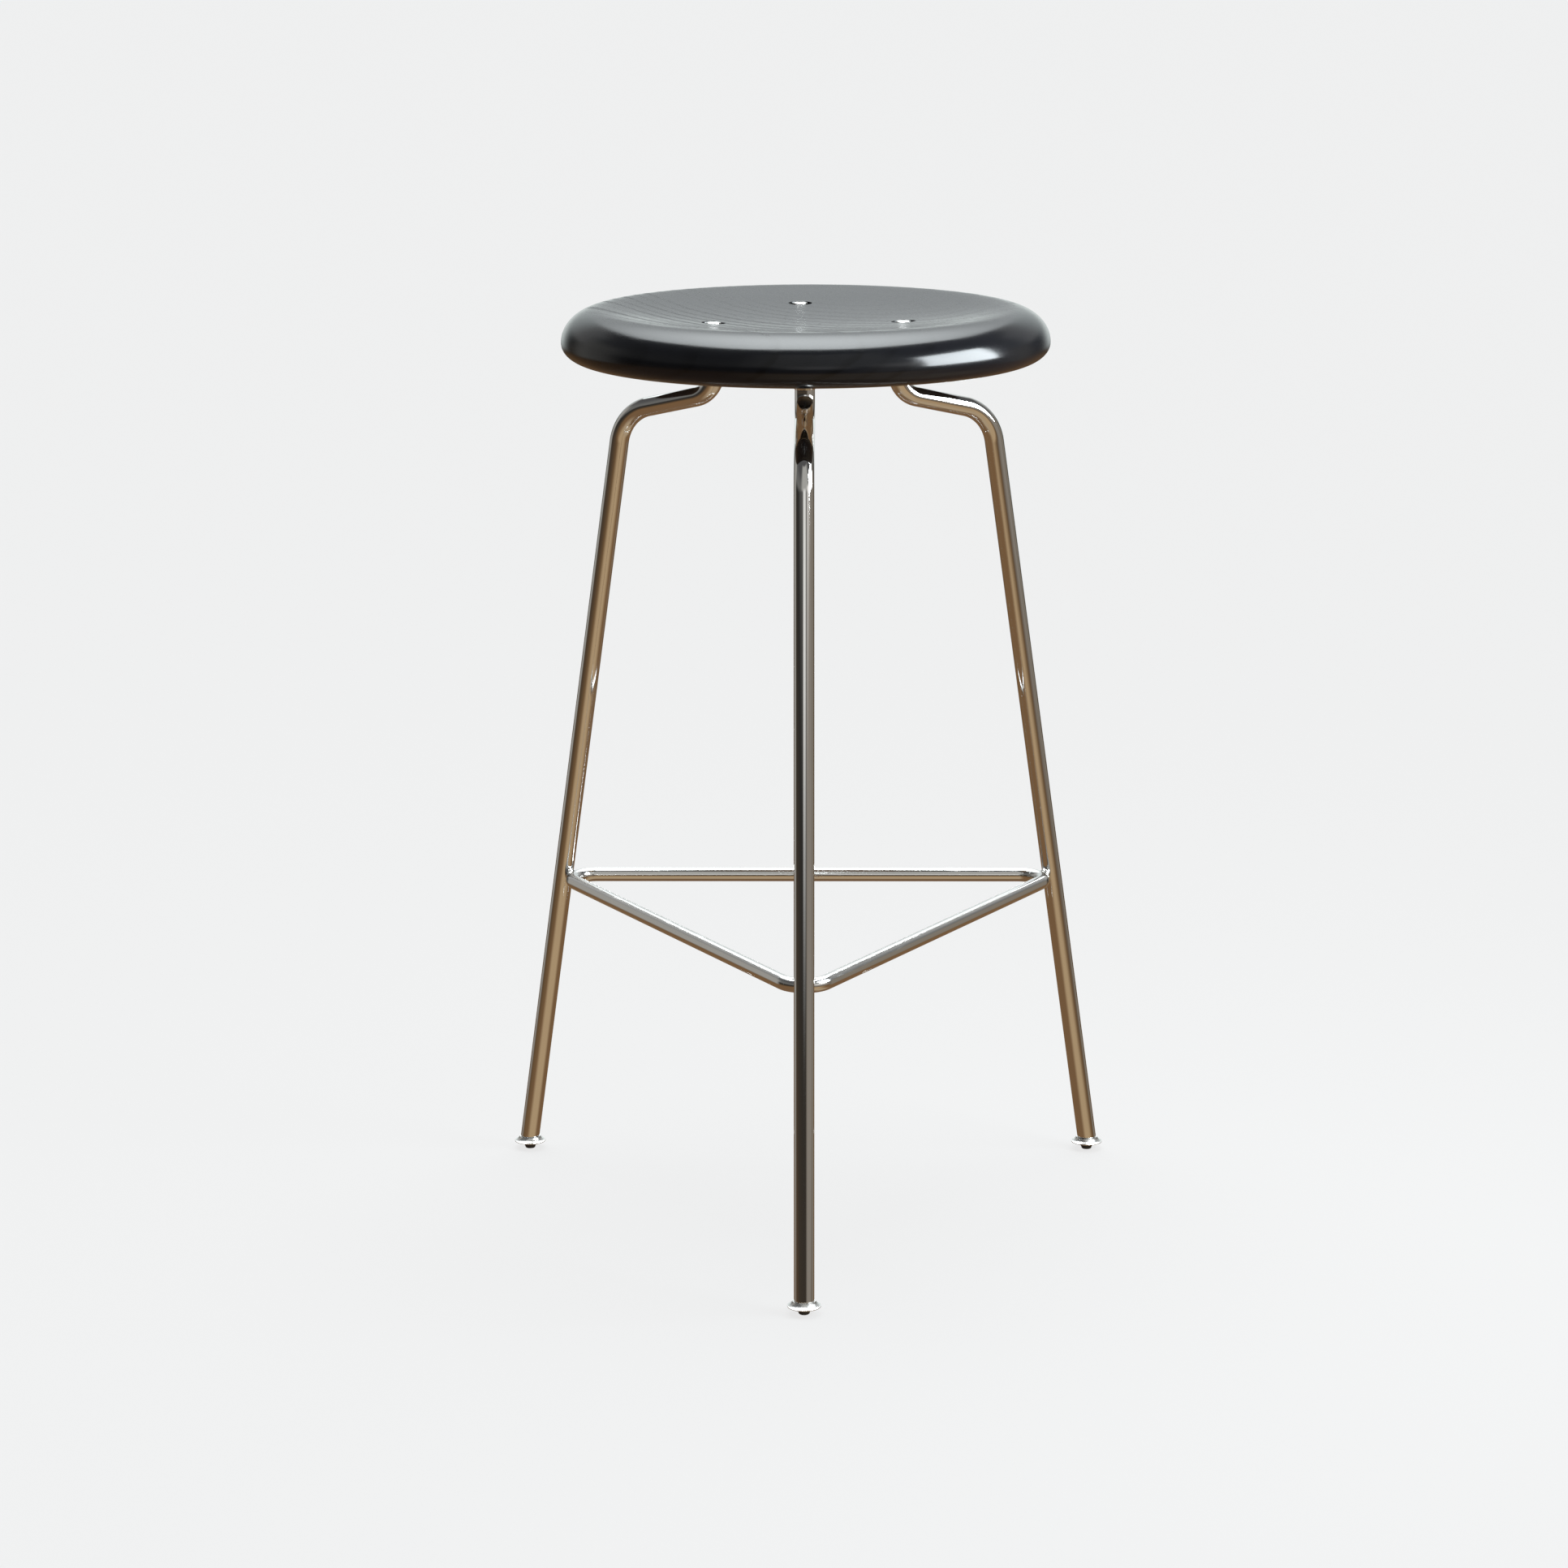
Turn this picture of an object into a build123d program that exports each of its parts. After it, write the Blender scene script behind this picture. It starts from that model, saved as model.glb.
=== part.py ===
from build123d import *
import os
from math import cos, radians, sin, tan

# Swivel bar stool.  Millimetres, +Z up, the floor is z = 0 and the front leg points to -Y.
# A dished wooden seat turns on a ball race above three bent steel tubes, which a
# triangular ring braces.  Each tube ends in a plug, and a stud in that plug levels its glide.
# The origin lies on the floor, at the middle of the whole stool's rectangle.

# ---- Seat board ------------------------------------------------------------------------
seat_diameter = 393.0
seat_height = 750.0             # top of the rim above the floor
seat_thickness = 41.0
dish_depth = 8.0                # middle of the dish below the rim
dish_floor_inset = 45.0         # inside the rim, where the level dish begins to rise
dish_rise_inset = 25.0          # inside the rim, where that rise levels out again
edge_top_width = 31.0           # half ellipse from the rim out to the widest line
edge_bottom_width = 20.0        # half ellipse from the widest line in to the underside
edge_bottom_height = 14.5       # widest line above the underside
recess_depth = 6.0              # hollow in the underside, which hides the swivel
recess_clearance = 6.0          # around the plates in that hollow
seat_rest_angle = 3.4          # degrees that the seat stands out of line with the legs

# ---- Seat bolts ------------------------------------------------------------------------
bolt_count = 3
bolt_circle_radius = 87.0
bolt_diameter = 6.0
bolt_head_diameter = 12.0
bolt_head_height = 3.4
bolt_head_crown = 1.6           # the domed part of that height
bolt_socket_width = 4.0         # across the flats of the key socket
bolt_socket_depth = 2.0
bolt_hole_clearance = 0.4       # on the diameter, in wood and plate
counterbore_clearance = 1.5     # around the washer
counterbore_below_dish = 1.5    # its floor, below the middle of the dish
bolt_washer_diameter = 16.0
bolt_washer_thickness = 1.2
weld_nut_width = 10.0           # across the flats
weld_nut_height = 5.0
nut_pocket_clearance = 0.5      # around and above the weld nuts
bolt_end_setback = 0.3          # bolt end above the underside of the seat plate

# ---- Swivel ----------------------------------------------------------------------------
seat_plate_margin = 13.0        # outside the bolt circle
seat_plate_thickness = 3.0
race_plate_margin = 12.0        # outside the ball circle
race_plate_thickness = 3.0
frame_plate_margin = 5.0        # outside the legs' tubes
frame_plate_thickness = 4.0
plate_edge_break = 0.8
ball_diameter = 8.0
ball_count = 12
ball_circle_inset = 17.0        # inside the bolt circle
ball_clearance = 0.1            # between a ball and its grooves and pocket
groove_depth = 1.0
cage_thickness = 2.0
cage_width = 14.0
rivet_count = 3
rivet_circle_inset = 25.0       # inside the ball circle
rivet_diameter = 5.0
rivet_head_diameter = 9.0
rivet_countersink_angle = 90.0
rivet_tail_height = 2.5

# ---- Pivot -----------------------------------------------------------------------------
shoulder_step = 1.0             # radial, from the thread out to the shoulder
shoulder_clearance = 0.05       # radial, in the turning plate
shoulder_end_play = 0.1
pivot_head_diameter = 18.0
pivot_head_height = 5.0
pivot_socket_width = 6.0
pivot_socket_depth = 3.0
pivot_thread_diameter = 10.0
pivot_hole_clearance = 0.4      # on the diameter, in the fixed plates
thrust_washer_diameter = 22.0
thrust_washer_thickness = 1.0
pivot_washer_diameter = 20.0
pivot_washer_thickness = 2.0
pivot_nut_width = 17.0
pivot_nut_height = 6.0
pivot_thread_end = 1.2          # thread that shows below the nut
pivot_pocket_clearance = 1.5    # around the thrust washer and above the head, in the wood
thread_clearance = 0.05         # radial, between a plain thread and its nut or plug

# ---- Legs ------------------------------------------------------------------------------
front_leg_angle = -90.0         # from +X
tube_diameter = 16.0
tube_wall = 1.5
stub_radius = 85.5              # axis of the upright stub under the frame plate
stub_drop = 23.3                # from the frame plate down to the inner bend's corner
run_fall_angle = 13.5           # degrees that the short top run falls outwards
splay_angle = 9.26              # degrees of the long run from upright
foot_reach = 282.0              # where the long run's axis meets the floor
inner_bend_radius = 24.0
outer_bend_radius = 38.0
tube_end_height = 11.0          # the tube's lower end, cut level with the floor

# ---- Footrest --------------------------------------------------------------------------
ring_rod_diameter = 12.0
ring_height = 250.0             # rod axis above the floor
ring_corner_radius = 20.0
ring_bite = 0.5                 # how deep each corner is coped around its leg

# ---- Feet ------------------------------------------------------------------------------
plug_length = 20.0
plug_clearance = 0.05           # radial, in the tube
stud_diameter = 6.0
stud_reach = 11.0               # stud inside the plug at rest
stud_hole_spare = 0.5           # blind hole above the stud
stud_head_clearance = 0.3       # radial, inside the glide
stud_head_height = 1.4
stud_head_play = 0.3            # above and below the head, inside the glide
glide_diameter = 26.4
glide_top_diameter = 18.0
glide_rim_rise = 3.1            # middle of the rim above the pad
glide_rim_land = 0.6
glide_upper_bulge = 0.7
glide_lower_bulge = 0.7
glide_running_gap = 0.3         # between the glide and the tube's end
glide_bore_clearance = 0.05     # radial, around the stud
pad_height = 3.5
pad_lip = 0.45                  # radial, outside the spigot
pad_taper = 1.1                 # radial, from the lip in to the sole
pad_edge_break = 0.4
pad_spigot_diameter = 9.7
pad_spigot_height = 1.6
pad_spigot_clearance = 0.05     # radial, in the glide

# ---- Levels and radii that follow ------------------------------------------------------
seat_radius = seat_diameter / 2
seat_underside = seat_height - seat_thickness
widest_height = seat_underside + edge_bottom_height
dish_floor = seat_height - dish_depth
rim_radius = seat_radius - edge_top_width

seat_plate_radius = bolt_circle_radius + seat_plate_margin
ball_circle_radius = bolt_circle_radius - ball_circle_inset
race_plate_radius = ball_circle_radius + race_plate_margin
rivet_circle_radius = ball_circle_radius - rivet_circle_inset
seat_plate_top = seat_underside + recess_depth
seat_plate_bottom = seat_plate_top - seat_plate_thickness
recess_radius = seat_plate_radius + recess_clearance
groove_radius = ball_diameter / 2 + ball_clearance
ball_height = seat_plate_bottom + groove_depth - groove_radius
race_plate_top = ball_height - groove_radius + groove_depth
race_plate_bottom = race_plate_top - race_plate_thickness
frame_plate_bottom = race_plate_bottom - frame_plate_thickness

bolt_seat = dish_floor - counterbore_below_dish
bolt_head_seat = bolt_seat + bolt_washer_thickness
bolt_hole_radius = (bolt_diameter + bolt_hole_clearance) / 2
counterbore_radius = bolt_washer_diameter / 2 + counterbore_clearance

shoulder_radius = pivot_thread_diameter / 2 + shoulder_step
shoulder_top = seat_plate_top + thrust_washer_thickness + shoulder_end_play
pivot_head_top = shoulder_top + pivot_head_height
pivot_nut_top = frame_plate_bottom - pivot_washer_thickness
pivot_nut_bottom = pivot_nut_top - pivot_nut_height
pivot_hole_radius = (pivot_thread_diameter + pivot_hole_clearance) / 2
shoulder_bore_radius = shoulder_radius + shoulder_clearance

rivet_radius = rivet_diameter / 2
rivet_head_radius = rivet_head_diameter / 2

tube_radius = tube_diameter / 2
tube_bore_radius = tube_radius - tube_wall
splay_slope = tan(radians(splay_angle))
frame_plate_radius = stub_radius + tube_radius + frame_plate_margin
glide_top = tube_end_height - glide_running_gap
stud_radius = stud_diameter / 2
stud_top = tube_end_height + stud_reach
stud_head_bottom = pad_height + pad_spigot_height + stud_head_play
stud_head_top = stud_head_bottom + stud_head_height
glide_shoulder = stud_head_top + stud_head_play
pad_bore_radius = pad_spigot_diameter / 2 + pad_spigot_clearance
stud_head_radius = pad_bore_radius - stud_head_clearance
pad_lip_radius = pad_spigot_diameter / 2 + pad_lip
pad_sole_radius = pad_lip_radius - pad_taper
glide_rim_height = pad_height + glide_rim_rise

foot_radius = foot_reach - tube_end_height * splay_slope
front_reach = foot_radius + glide_diameter / 2
axis_setback = (front_reach - seat_radius) / 2

# Angles from +X.  The seat's bolts stand halfway between the legs but for its turn at rest.
leg_angles = {
    "front": front_leg_angle,
    "back_right": front_leg_angle + 120,
    "back_left": front_leg_angle + 240,
}
first_bolt_angle = front_leg_angle + 180 + seat_rest_angle
bolt_angles = [first_bolt_angle + i * 360 / bolt_count for i in range(bolt_count)]
rivet_angles = [front_leg_angle + i * 360 / rivet_count for i in range(rivet_count)]

# ---- Planes and axes -------------------------------------------------------------------
stool_base = Plane(origin=(0, axis_setback, 0), x_dir=(1, 0, 0), z_dir=(0, 0, 1))
stool_axis = Axis((0, axis_setback, 0), (0, 0, 1))


def level(height):
    """Horizontal plane at a height, centred on the stool's axis."""
    return stool_base.offset(height)


def upright(angle, radius=0.0):
    """Upright plane whose x runs outwards along an angle and whose y is height."""
    outwards = Vector(cos(radians(angle)), sin(radians(angle)), 0)
    return Plane(
        origin=stool_base.origin + outwards * radius,
        x_dir=outwards,
        z_dir=outwards.cross(Vector(0, 0, 1)),
    )


def vertical(angle, radius):
    """Vertical axis at a radius along an angle."""
    return Axis(upright(angle, radius).origin, (0, 0, 1))


def leg_axis_radius(height):
    """Distance of a leg's long run from the stool's axis at a height."""
    return foot_reach - height * splay_slope


def run_start(angle):
    """Plane across a leg's long run where its axis meets the floor, facing up the run."""
    across = upright(angle, foot_reach)
    return Plane(
        origin=across.origin,
        z_dir=across.from_local_coords((-splay_slope, 1)) - across.origin,
    )


def groove_section():
    """Sketch of the ball track's round section, to be turned about the stool's axis."""
    with BuildSketch(upright(0, ball_circle_radius)) as section:
        with Locations((0, ball_height)):
            Circle(groove_radius)
    return section.sketch


def write(part, name):
    """Label a finished part and write it under its node name."""
    part.label = name
    export_step(part, f"parts/{name}.step")


os.makedirs("parts", exist_ok=True)

# ---- Seat board ------------------------------------------------------------------------
with BuildPart() as seat_board:
    with BuildSketch(upright(0)):
        with BuildLine():
            dish = Bezier(
                (0, dish_floor),
                (rim_radius - dish_floor_inset, dish_floor),
                (rim_radius - dish_rise_inset, seat_height),
                (rim_radius, seat_height),
            )
            EllipticalCenterArc(
                (rim_radius, widest_height), edge_top_width, seat_height - widest_height, arc_size=90
            )
            lower_edge = EllipticalCenterArc(
                (seat_radius - edge_bottom_width, widest_height),
                edge_bottom_width,
                edge_bottom_height,
                start_angle=270,
                arc_size=90,
            )
            Polyline(lower_edge @ 0, (0, seat_underside), dish @ 0)
        make_face()
    revolve(axis=stool_axis)
    with BuildSketch(level(seat_underside)):
        Circle(recess_radius)
    extrude(amount=recess_depth, mode=Mode.SUBTRACT)
    with BuildSketch(level(seat_plate_top)):
        Circle(thrust_washer_diameter / 2 + pivot_pocket_clearance)
    extrude(amount=pivot_head_top + pivot_pocket_clearance - seat_plate_top, mode=Mode.SUBTRACT)
    with BuildSketch(level(seat_plate_top)):
        with PolarLocations(bolt_circle_radius, bolt_count, first_bolt_angle):
            Circle(weld_nut_width / 2 / cos(radians(30)) + nut_pocket_clearance)
    extrude(amount=weld_nut_height + nut_pocket_clearance, mode=Mode.SUBTRACT)
    with Locations(level(seat_height)):
        with PolarLocations(bolt_circle_radius, bolt_count, first_bolt_angle):
            CounterBoreHole(bolt_hole_radius, counterbore_radius, seat_height - bolt_seat)
write(seat_board.part, "seat_board")

# ---- Seat bolts, their washers and the nuts that they screw into ------------------------
with BuildPart() as seat_bolts:
    for angle in bolt_angles:
        with BuildSketch(upright(angle, bolt_circle_radius)):
            with BuildLine():
                shank = Polyline(
                    (0, seat_plate_bottom + bolt_end_setback),
                    (bolt_diameter / 2, seat_plate_bottom + bolt_end_setback),
                    (bolt_diameter / 2, bolt_head_seat),
                    (bolt_head_diameter / 2, bolt_head_seat),
                    (bolt_head_diameter / 2, bolt_head_seat + bolt_head_height - bolt_head_crown),
                )
                crown = EllipticalCenterArc(
                    (0, bolt_head_seat + bolt_head_height - bolt_head_crown),
                    bolt_head_diameter / 2,
                    bolt_head_crown,
                    arc_size=90,
                )
                Line(crown @ 1, shank @ 0)
            make_face()
        revolve(axis=vertical(angle, bolt_circle_radius))
    with BuildSketch(level(bolt_head_seat + bolt_head_height)):
        with PolarLocations(bolt_circle_radius, bolt_count, first_bolt_angle):
            RegularPolygon(bolt_socket_width / 2, 6, major_radius=False)
    extrude(amount=-bolt_socket_depth, mode=Mode.SUBTRACT)
write(seat_bolts.part, "seat_bolts")

with BuildPart() as seat_bolt_washers:
    with BuildSketch(level(bolt_seat)):
        with PolarLocations(bolt_circle_radius, bolt_count, first_bolt_angle):
            Circle(bolt_washer_diameter / 2)
            Circle(bolt_hole_radius, mode=Mode.SUBTRACT)
    extrude(amount=bolt_washer_thickness)
write(seat_bolt_washers.part, "seat_bolt_washers")

with BuildPart() as weld_nuts:
    with BuildSketch(level(seat_plate_top)):
        with PolarLocations(bolt_circle_radius, bolt_count, first_bolt_angle):
            RegularPolygon(weld_nut_width / 2, 6, major_radius=False)
            Circle(bolt_diameter / 2 + thread_clearance, mode=Mode.SUBTRACT)
    extrude(amount=weld_nut_height)
write(weld_nuts.part, "weld_nuts")

# ---- Swivel: two grooved plates with a caged ring of balls between them -----------------
with BuildPart() as seat_plate:
    with BuildSketch(level(seat_plate_bottom)):
        Circle(seat_plate_radius)
        Circle(shoulder_bore_radius, mode=Mode.SUBTRACT)
        with PolarLocations(bolt_circle_radius, bolt_count, first_bolt_angle):
            Circle(bolt_hole_radius, mode=Mode.SUBTRACT)
    extrude(amount=seat_plate_thickness)
    chamfer(seat_plate.edges().group_by(SortBy.LENGTH)[-1], plate_edge_break)
    revolve(groove_section(), axis=stool_axis, mode=Mode.SUBTRACT)
write(seat_plate.part, "seat_plate")

with BuildPart() as race_plate:
    with BuildSketch(level(race_plate_bottom)):
        Circle(race_plate_radius)
        Circle(pivot_hole_radius, mode=Mode.SUBTRACT)
    extrude(amount=race_plate_thickness)
    chamfer(race_plate.edges().group_by(SortBy.LENGTH)[-1], plate_edge_break)
    revolve(groove_section(), axis=stool_axis, mode=Mode.SUBTRACT)
    with Locations(level(race_plate_top)):
        with PolarLocations(rivet_circle_radius, rivet_count, rivet_angles[0]):
            CounterSinkHole(
                rivet_radius, rivet_head_radius, counter_sink_angle=rivet_countersink_angle
            )
write(race_plate.part, "race_plate")

with BuildPart() as frame_plate:
    with BuildSketch(level(frame_plate_bottom)):
        Circle(frame_plate_radius)
        Circle(pivot_hole_radius, mode=Mode.SUBTRACT)
        with PolarLocations(rivet_circle_radius, rivet_count, rivet_angles[0]):
            Circle(rivet_radius, mode=Mode.SUBTRACT)
    extrude(amount=frame_plate_thickness)
    chamfer(frame_plate.edges().group_by(SortBy.LENGTH)[-1], plate_edge_break)
write(frame_plate.part, "frame_plate")

with BuildPart() as race_rivets:
    for angle in rivet_angles:
        with BuildSketch(upright(angle, rivet_circle_radius)):
            with BuildLine():
                countersink_depth = (rivet_head_radius - rivet_radius) / tan(
                    radians(rivet_countersink_angle / 2)
                )
                body = Polyline(
                    (0, race_plate_top),
                    (rivet_head_radius, race_plate_top),
                    (rivet_radius, race_plate_top - countersink_depth),
                    (rivet_radius, frame_plate_bottom),
                    (rivet_head_radius, frame_plate_bottom),
                )
                tail = EllipticalCenterArc(
                    (0, frame_plate_bottom),
                    rivet_head_radius,
                    rivet_tail_height,
                    start_angle=270,
                    arc_size=90,
                )
                Line(tail @ 0, body @ 0)
            make_face()
        revolve(axis=vertical(angle, rivet_circle_radius))
write(race_rivets.part, "race_rivets")

with BuildPart() as bearing_balls:
    with Locations(level(ball_height)):
        with PolarLocations(ball_circle_radius, ball_count):
            Sphere(ball_diameter / 2)
write(bearing_balls.part, "bearing_balls")

with BuildPart() as ball_cage:
    with BuildSketch(level(ball_height - cage_thickness / 2)):
        Circle(ball_circle_radius + cage_width / 2)
        Circle(ball_circle_radius - cage_width / 2, mode=Mode.SUBTRACT)
        with PolarLocations(ball_circle_radius, ball_count):
            Circle(groove_radius, mode=Mode.SUBTRACT)
    extrude(amount=cage_thickness)
write(ball_cage.part, "ball_cage")

# ---- Pivot: a shouldered bolt, fixed in the frame, that the seat plate turns around ------
with BuildPart() as pivot_bolt:
    with BuildSketch(upright(0)):
        Polygon(
            (0, pivot_nut_bottom - pivot_thread_end),
            (pivot_thread_diameter / 2, pivot_nut_bottom - pivot_thread_end),
            (pivot_thread_diameter / 2, race_plate_top),
            (shoulder_radius, race_plate_top),
            (shoulder_radius, shoulder_top),
            (pivot_head_diameter / 2, shoulder_top),
            (pivot_head_diameter / 2, pivot_head_top),
            (0, pivot_head_top),
            align=None,
        )
    revolve(axis=stool_axis)
    with BuildSketch(level(pivot_head_top)):
        RegularPolygon(pivot_socket_width / 2, 6, major_radius=False)
    extrude(amount=-pivot_socket_depth, mode=Mode.SUBTRACT)
write(pivot_bolt.part, "pivot_bolt")

with BuildPart() as thrust_washer:
    with BuildSketch(level(seat_plate_top)):
        Circle(thrust_washer_diameter / 2)
        Circle(shoulder_bore_radius, mode=Mode.SUBTRACT)
    extrude(amount=thrust_washer_thickness)
write(thrust_washer.part, "thrust_washer")

with BuildPart() as pivot_washer:
    with BuildSketch(level(pivot_nut_top)):
        Circle(pivot_washer_diameter / 2)
        Circle(pivot_hole_radius, mode=Mode.SUBTRACT)
    extrude(amount=pivot_washer_thickness)
write(pivot_washer.part, "pivot_washer")

with BuildPart() as pivot_nut:
    with BuildSketch(level(pivot_nut_bottom)):
        RegularPolygon(pivot_nut_width / 2, 6, major_radius=False)
        Circle(pivot_thread_diameter / 2 + thread_clearance, mode=Mode.SUBTRACT)
    extrude(amount=pivot_nut_height)
write(pivot_nut.part, "pivot_nut")

# ---- Legs: a bent tube each, with a threaded plug in its lower end ----------------------
stub_corner_height = frame_plate_bottom - stub_drop
run_slope = tan(radians(run_fall_angle))
outer_corner_radius = (foot_reach - splay_slope * (stub_corner_height + run_slope * stub_radius)) / (
    1 - splay_slope * run_slope
)
outer_corner_height = stub_corner_height - run_slope * (outer_corner_radius - stub_radius)

for place, angle in leg_angles.items():
    with BuildPart() as leg:
        with BuildLine(upright(angle)) as leg_line:
            FilletPolyline(
                (stub_radius, frame_plate_bottom),
                (stub_radius, stub_corner_height),
                (outer_corner_radius, outer_corner_height),
                (foot_reach, 0),
                radius=[inner_bend_radius, outer_bend_radius],
            )
        with BuildSketch(Plane(origin=leg_line.line @ 0, z_dir=leg_line.line % 0)):
            Circle(tube_radius)
            Circle(tube_bore_radius, mode=Mode.SUBTRACT)
        sweep()
        split(bisect_by=level(tube_end_height), keep=Keep.TOP)
    write(leg.part, f"leg_{place}")

    with BuildPart() as plug:
        with BuildSketch(run_start(angle)):
            Circle(tube_bore_radius - plug_clearance)
        extrude(amount=tube_end_height / cos(radians(splay_angle)) + plug_length)
        split(bisect_by=level(tube_end_height), keep=Keep.TOP)
        with BuildSketch(level(tube_end_height)):
            with PolarLocations(foot_radius, 1, angle):
                Circle(stud_radius + thread_clearance)
        extrude(amount=stud_reach + stud_hole_spare, mode=Mode.SUBTRACT)
    write(plug.part, f"plug_{place}")

# ---- Footrest: one rod bent into a triangle, coped where each corner meets its leg -------
ring_leg_radius = leg_axis_radius(ring_height)
ring_apex_radius = (
    ring_leg_radius - tube_radius / cos(radians(splay_angle)) - ring_rod_diameter / 2 + ring_bite
)
ring_sharp_radius = ring_apex_radius + ring_corner_radius / sin(radians(30)) - ring_corner_radius

with BuildPart() as footrest_ring:
    with BuildLine(level(ring_height)) as ring_line:
        FilletPolyline(
            *[
                (ring_sharp_radius * cos(radians(a)), ring_sharp_radius * sin(radians(a)))
                for a in leg_angles.values()
            ],
            radius=ring_corner_radius,
            close=True,
        )
    with BuildSketch(Plane(origin=ring_line.line @ 0, z_dir=ring_line.line % 0)):
        Circle(ring_rod_diameter / 2)
    sweep()
    for angle in leg_angles.values():
        with BuildSketch(run_start(angle)):
            Circle(tube_radius)
        extrude(amount=outer_corner_height, mode=Mode.SUBTRACT)
write(footrest_ring.part, "footrest_ring")

# ---- Feet: a stud, a glide that turns on its head, and a pad that closes the glide -------
for place, angle in leg_angles.items():
    foot_axis = vertical(angle, foot_radius)
    with BuildPart() as stud:
        with BuildSketch(upright(angle, foot_radius)):
            Polygon(
                (0, stud_head_bottom),
                (stud_head_radius, stud_head_bottom),
                (stud_head_radius, stud_head_top),
                (stud_radius, stud_head_top),
                (stud_radius, stud_top),
                (0, stud_top),
                align=None,
            )
        revolve(axis=foot_axis)
    write(stud.part, f"stud_{place}")

    with BuildPart() as glide:
        with BuildSketch(upright(angle, foot_radius)):
            with BuildLine():
                land_top = (glide_diameter / 2, glide_rim_height + glide_rim_land / 2)
                land_bottom = (glide_diameter / 2, glide_rim_height - glide_rim_land / 2)
                SagittaArc((glide_top_diameter / 2, glide_top), land_top, -glide_upper_bulge)
                Line(land_top, land_bottom)
                SagittaArc(land_bottom, (pad_lip_radius, pad_height), -glide_lower_bulge)
                Polyline(
                    (pad_lip_radius, pad_height),
                    (pad_bore_radius, pad_height),
                    (pad_bore_radius, glide_shoulder),
                    (stud_radius + glide_bore_clearance, glide_shoulder),
                    (stud_radius + glide_bore_clearance, glide_top),
                    (glide_top_diameter / 2, glide_top),
                )
            make_face()
        revolve(axis=foot_axis)
    write(glide.part, f"glide_{place}")

    with BuildPart() as pad:
        with BuildSketch(upright(angle, foot_radius)):
            Polygon(
                (0, 0),
                (pad_sole_radius - pad_edge_break, 0),
                (pad_sole_radius, pad_edge_break),
                (pad_lip_radius, pad_height),
                (pad_spigot_diameter / 2, pad_height),
                (pad_spigot_diameter / 2, pad_height + pad_spigot_height),
                (0, pad_height + pad_spigot_height),
                align=None,
            )
        revolve(axis=foot_axis)
    write(pad.part, f"pad_{place}")
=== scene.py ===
"""Dresses the swivel stool: its smooth meshes, its finishes, a plain studio and the camera."""

import logging
from collections.abc import Sequence
from dataclasses import dataclass, field
from enum import Enum
from math import atan2, cos, degrees, pi, radians, sin, tan
from operator import mul
from random import Random

import bmesh
import bpy
from mathutils import Matrix, Vector


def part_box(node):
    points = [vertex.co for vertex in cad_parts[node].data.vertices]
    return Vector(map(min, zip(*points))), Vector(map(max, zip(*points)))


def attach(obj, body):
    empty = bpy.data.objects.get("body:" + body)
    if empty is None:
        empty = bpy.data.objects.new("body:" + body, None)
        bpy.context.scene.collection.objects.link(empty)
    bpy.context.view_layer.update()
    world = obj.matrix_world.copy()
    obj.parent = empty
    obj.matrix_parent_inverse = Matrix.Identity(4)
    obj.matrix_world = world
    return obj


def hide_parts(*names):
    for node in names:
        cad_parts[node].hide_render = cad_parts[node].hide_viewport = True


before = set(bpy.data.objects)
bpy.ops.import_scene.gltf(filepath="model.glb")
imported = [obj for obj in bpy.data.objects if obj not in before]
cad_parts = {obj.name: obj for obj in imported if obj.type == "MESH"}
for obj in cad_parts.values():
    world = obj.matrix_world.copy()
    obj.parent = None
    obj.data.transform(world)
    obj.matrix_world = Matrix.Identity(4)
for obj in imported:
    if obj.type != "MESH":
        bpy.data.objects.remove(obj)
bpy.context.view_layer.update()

LOG = logging.getLogger("stool")
UP = Vector((0, 0, 1))
SEAT_LOW, SEAT_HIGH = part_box("seat_board")
AXIS = Vector(((SEAT_LOW.x + SEAT_HIGH.x) / 2, (SEAT_LOW.y + SEAT_HIGH.y) / 2, 0))
Pair = tuple[float, float]
Triple = tuple[float, float, float]
Sockets = dict[str | int, object]
Edge, Vert = bmesh.types.BMEdge, bmesh.types.BMVert


# ---- Shader maths
class Wire:
    """One output socket of a node, with Python's operators for arithmetic on it."""

    def __init__(self, graph: "Graph", socket: bpy.types.NodeSocket) -> None:
        """Wraps a socket of a graph."""
        self.graph = graph
        self.socket = socket

    def maths(self, operation: str, *others: "Wire | float") -> "Wire":
        """One Math node, with this value first and the others after it."""
        values = dict(enumerate((self, *others)))
        return self.graph.add("ShaderNodeMath", {"operation": operation}, values)

    def __add__(self, other: "Wire | float") -> "Wire":
        """Sum."""
        return self.maths("ADD", other)

    __radd__ = __add__

    def __sub__(self, other: "Wire | float") -> "Wire":
        """Difference."""
        return self.maths("SUBTRACT", other)

    def __rsub__(self, other: float) -> "Wire":
        """Difference from a number."""
        return self.graph.add("ShaderNodeMath", {"operation": "SUBTRACT"}, {0: other, 1: self})

    def __mul__(self, other: "Wire | float") -> "Wire":
        """Product."""
        return self.maths("MULTIPLY", other)

    __rmul__ = __mul__

    def __truediv__(self, other: "Wire | float") -> "Wire":
        """Quotient."""
        return self.maths("DIVIDE", other)

    def __pow__(self, other: float) -> "Wire":
        """Power."""
        return self.maths("POWER", other)

    def step(self, low: float, high: float, start: float = 0.0, end: float = 1.0) -> "Wire":
        """Eases from start at low to end at high, which may be below low."""
        values = {"Value": self, "From Min": low, "From Max": high, "To Min": start, "To Max": end}
        return self.graph.add("ShaderNodeMapRange", {"interpolation_type": "SMOOTHSTEP"}, values)


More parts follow.
